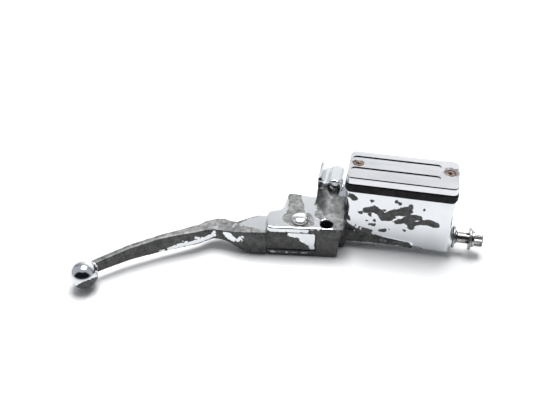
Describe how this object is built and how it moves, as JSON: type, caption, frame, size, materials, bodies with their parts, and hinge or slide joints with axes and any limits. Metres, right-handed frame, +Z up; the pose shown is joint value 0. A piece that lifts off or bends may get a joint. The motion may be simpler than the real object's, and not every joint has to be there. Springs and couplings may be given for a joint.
{
  "type": "motorcycle brake master cylinder",
  "caption": "Handlebar brake master cylinder with box reservoir, ball-ended lever, piston train and banjo bolt.",
  "frame": {"origin": "centre of the handlebar where the clamp grips it", "axes": "+X along the handlebar and the cylinder bore towards the hose, +Y towards the rider, +Z up"},
  "size_m": [0.2727, 0.1232, 0.0603],
  "materials": {
    "flaked_chrome": "bright plating over a grey casting, flaked away in patches",
    "worn_lever": "bare grey casting with rests of bright plating",
    "brushed_lid": "polished and lightly brushed along its length",
    "bright_chrome": "bright plating",
    "rusty_steel": "plated steel gone brown with rust",
    "plated_steel": "dull zinc plating",
    "dark_plated_steel": "dark satin plating",
    "dull_washer": "soft crush washer, dull grey",
    "machined_aluminium": "turned and anodised clear",
    "bronze": "plain bearing bronze",
    "black_rubber": "soft black rubber, slightly dusty",
    "pale_plastic": "moulded plastic",
    "clear_glass": "clear window"
  },
  "bodies": {
    "cylinder": {"cylinder_body": "flaked_chrome", "reservoir_cover": "brushed_lid", "cover_screw_left": "rusty_steel", "cover_screw_right": "rusty_steel", "diaphragm": "black_rubber", "diaphragm_plate": "pale_plastic", "port_baffle": "plated_steel", "sight_glass_ring": "bright_chrome", "sight_glass": "clear_glass", "pivot_bolt": "bright_chrome", "pivot_nut": "plated_steel", "snap_ring": "plated_steel", "piston_stop_washer": "plated_steel", "return_spring": "plated_steel", "dust_boot": "black_rubber", "banjo_washer_inner": "dull_washer", "banjo_washer_outer": "dull_washer", "banjo_bolt": "dark_plated_steel"},
    "lever": {"brake_lever": "worn_lever", "lever_bushing": "bronze"},
    "piston_train": {"piston": "machined_aluminium", "secondary_cup": "black_rubber", "primary_cup": "black_rubber", "spring_seat": "plated_steel"}
  },
  "joints": [
    {"name": "lever_pull", "type": "hinge", "parent": "cylinder", "child": "lever", "pos_m": [-0.0196, -0.047, -0.0088], "axis": [0, 0, -1], "range_deg": [0, 18]},
    {"name": "piston_stroke", "type": "slide", "parent": "cylinder", "child": "piston_train", "axis": [1, 0, 0], "range_m": [0, 0.0062], "stiffness_N_per_m": 1500, "springref_m": -0.01, "deforming": ["return_spring", "dust_boot"]}
  ],
  "couplings": [
    {"joint": "piston_stroke", "follows": "lever_pull", "m_per_rad": 0.019}
  ]
}
